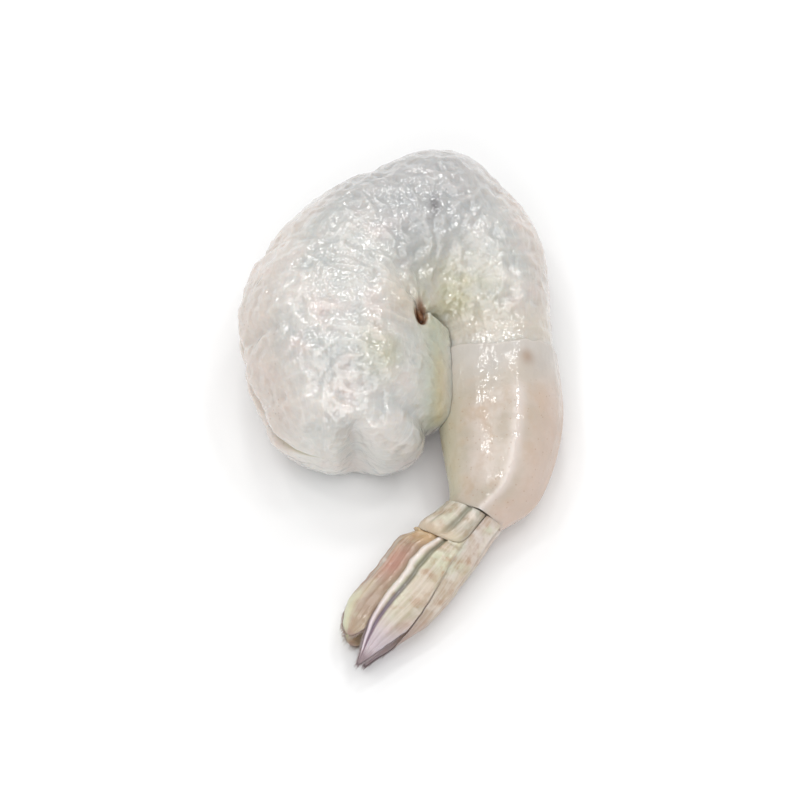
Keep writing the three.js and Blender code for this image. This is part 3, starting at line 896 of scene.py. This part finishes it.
# Painted shade: the line along the groove is darkened, olive at the root and plum towards the tip.
groove = tinted(tree, ranged(tree, along, 0.35, 0.7), groove_shade_olive, groove_shade_plum)
colour = tinted(tree, line_at(tree, across, GROOVE, 0.07, 0.85), colour, groove)
ridge = tinted(tree, ranged(tree, along, 0.5, 0.9), ridge_cream, ridge_lilac)
colour = tinted(tree, line_at(tree, across, RIDGE, 0.07, 0.9), colour, ridge)
dark_tip = maths(tree, "ADD", along, times(tree, patches, 0.25))
colour = tinted(tree, ranged(tree, dark_tip, 1.0, 1.12, 0, 0.85), colour, tip_plum)
colour = tinted(tree, ranged(tree, hair, 0.1, 0.3), colour, hair_plum)
tree.links.new(colour, shader.inputs["Base Color"])
for label, side, end, seed in (("near", 1, INNER_END, 4), ("far", -1, INNER_END - FAR_SHORTER, 8)):
    outline = INNER_OUTLINE._replace(ends=(BLADE_START, end))
    inner = leaf_mesh(side, outline, under_root, LEAF_THICKNESS, inner_relief, INNER_HAIRS, seed)
    finish_piece(inner, f"inner_fan_blade_{label}", inner_skin, "fan", f"inner_blade_{label}")

# ---------------------------------------------------------------- outer blades
# The outer blade on each side of the fan: blunt and brown-red, with a low rib down its middle,
# a yellow-green tip and a fringe of dark hairs. Its covered edge lies under the inner blade.

OUTER_OUTLINE = Outline((0.8, 18.6), (78, 173), 0.96, (9, 0.5))
OUTER_HAIRS = 180


def under_inner_blade(along, degrees):
    return under_leaf(along, degrees, INNER_OUTLINE, LEAF_THICKNESS) + under_root(along, degrees)


def outer_relief(across, share):
    ribs = 0.1 * bump(across, 0.36, 0.05) + 0.09 * bump(across, 0.66, 0.04) - 0.08 * bump(across, 0.5, 0.05)
    return (ribs + 0.12 * bump(across, 0.93, 0.04)) * between(share, (0.1, 0.3), (0.7, 1))


outer_skin, tree, shader, colour, across, along, hair, patches = horn(
    "outer_blade_horn", root_tone=paint(188, 160, 122), far_tone=paint(164, 143, 123),
    patch_tone=paint(178, 161, 135), fleck_tone=paint(142, 108, 90))
covered_edge_shadow_brown, rib_red, root_orange = paint(156, 132, 112), paint(180, 122, 108), paint(202, 168, 122)
edge_brown, tip_yellow = paint(128, 92, 84), paint(204, 203, 172)
rim_brown, hair_tan = paint(140, 104, 98), paint(140, 112, 98)
# Painted shadow: the covered edge, under the inner blade's ridge, is darkened brown.
colour = tinted(tree, ranged(tree, across, 0.3, 0.55, 0.8, 0), colour, covered_edge_shadow_brown)
reddest = times(tree, ranged(tree, along, 0.3, 0.46), ranged(tree, along, 0.5, 0.68, 1, 0))
colour = tinted(tree, times(tree, line_at(tree, across, 0.5, 0.24, 0.6), reddest), colour, rib_red)
orange = times(tree, ranged(tree, along, 0.1, 0.2), ranged(tree, along, 0.22, 0.36, 1, 0))
colour = tinted(tree, times(tree, orange, 0.6), colour, root_orange)
colour = tinted(tree, ranged(tree, across, 0.8, 0.98, 0, 0.75), colour, edge_brown)
tip_tone = maths(tree, "ADD", along, times(tree, patches, 0.3))
tip_tone = times(tree, ranged(tree, tip_tone, 0.9, 1.05), ranged(tree, across, 0.45, 0.7, 0.1, 0.9))
colour = tinted(tree, tip_tone, colour, tip_yellow)
colour = tinted(tree, ranged(tree, along, 0.96, 1.0, 0, 0.7), colour, rim_brown)
colour = tinted(tree, ranged(tree, hair, 0.1, 0.3), colour, hair_tan)
tree.links.new(colour, shader.inputs["Base Color"])
for label, side, seed in (("near", 1, 5), ("far", -1, 9)):
    outer = leaf_mesh(
        side, OUTER_OUTLINE, under_inner_blade, LEAF_THICKNESS, outer_relief, OUTER_HAIRS, seed)
    finish_piece(outer, f"outer_fan_blade_{label}", outer_skin, "fan", f"outer_blade_{label}")

# ---------------------------------------------------------------- floor, lights and camera
# A plain pale table top, one wide soft light over it, and smaller lamps from behind whose
# gleam breaks up on the wet flank. The camera looks down from the front at 60 degrees.

TABLE_HALF_SIZE = 3
TABLE_WHITE = (0.86, 0.86, 0.86, 1)

ground = bmesh.new()
bmesh.ops.create_grid(ground, x_segments=1, y_segments=1, size=TABLE_HALF_SIZE)
ground_mesh = bpy.data.meshes.new("table_top")
ground.to_mesh(ground_mesh)
ground.free()
floor = bpy.data.objects.new("table_top", ground_mesh)
bpy.context.scene.collection.objects.link(floor)
floor_skin, tree, shader = new_skin("white_table")
shader.inputs["Base Color"].default_value = TABLE_WHITE
shader.inputs["Roughness"].default_value = 0.7
ground_mesh.materials.append(floor_skin)

AIM = Vector((0, 0, 0.007))  # what the lamps and the camera point at


def aim_at_part(made, azimuth, elevation, distance):
    """Sets a lamp or the camera down, 0 in front and turning to the right, facing the part."""
    a, e = math.radians(azimuth), math.radians(elevation)
    towards = Vector((math.sin(a) * math.cos(e), -math.cos(a) * math.cos(e), math.sin(e)))
    made.location = AIM + towards * distance
    made.rotation_euler = towards.to_track_quat("Z", "Y").to_euler()
    bpy.context.scene.collection.objects.link(made)


def lamp(name, azimuth, elevation, size, watts, distance=0.9):
    light = bpy.data.lights.new(name, "AREA")
    light.shape = "DISK"
    light.size = size
    light.energy = watts
    aim_at_part(bpy.data.objects.new(name, light), azimuth, elevation, distance)


lamp("wide_soft_light", 0, 80, 0.7, 1.6, distance=0.8)
lamp("front_fill", 350, 38, 0.5, 1.7)
GLEAM_SIZE = 0.12
for azimuth, elevation, watts in (
        (180, 60, 0.45), (150, 52, 0.55), (212, 50, 0.45), (185, 38, 0.45), (120, 62, 0.45), (244, 64, 0.55)):
    lamp(f"gleam_{azimuth}", azimuth, elevation, GLEAM_SIZE, watts)

world = bpy.data.worlds.new("pale_room")
world.use_nodes = True
world.node_tree.nodes["Background"].inputs["Color"].default_value = (1, 1, 1, 1)
world.node_tree.nodes["Background"].inputs["Strength"].default_value = 0.65
bpy.context.scene.world = world
bpy.context.scene.view_settings.view_transform = "Standard"

CAMERA_ELEVATION, CAMERA_DISTANCE, CAMERA_LENS = 60, 0.43, 180
camera = bpy.data.cameras.new("camera")
camera.lens = CAMERA_LENS
camera.clip_start, camera.clip_end = 0.01, 10
view_point = bpy.data.objects.new("camera", camera)
aim_at_part(view_point, 0, CAMERA_ELEVATION, CAMERA_DISTANCE)
bpy.context.scene.camera = view_point
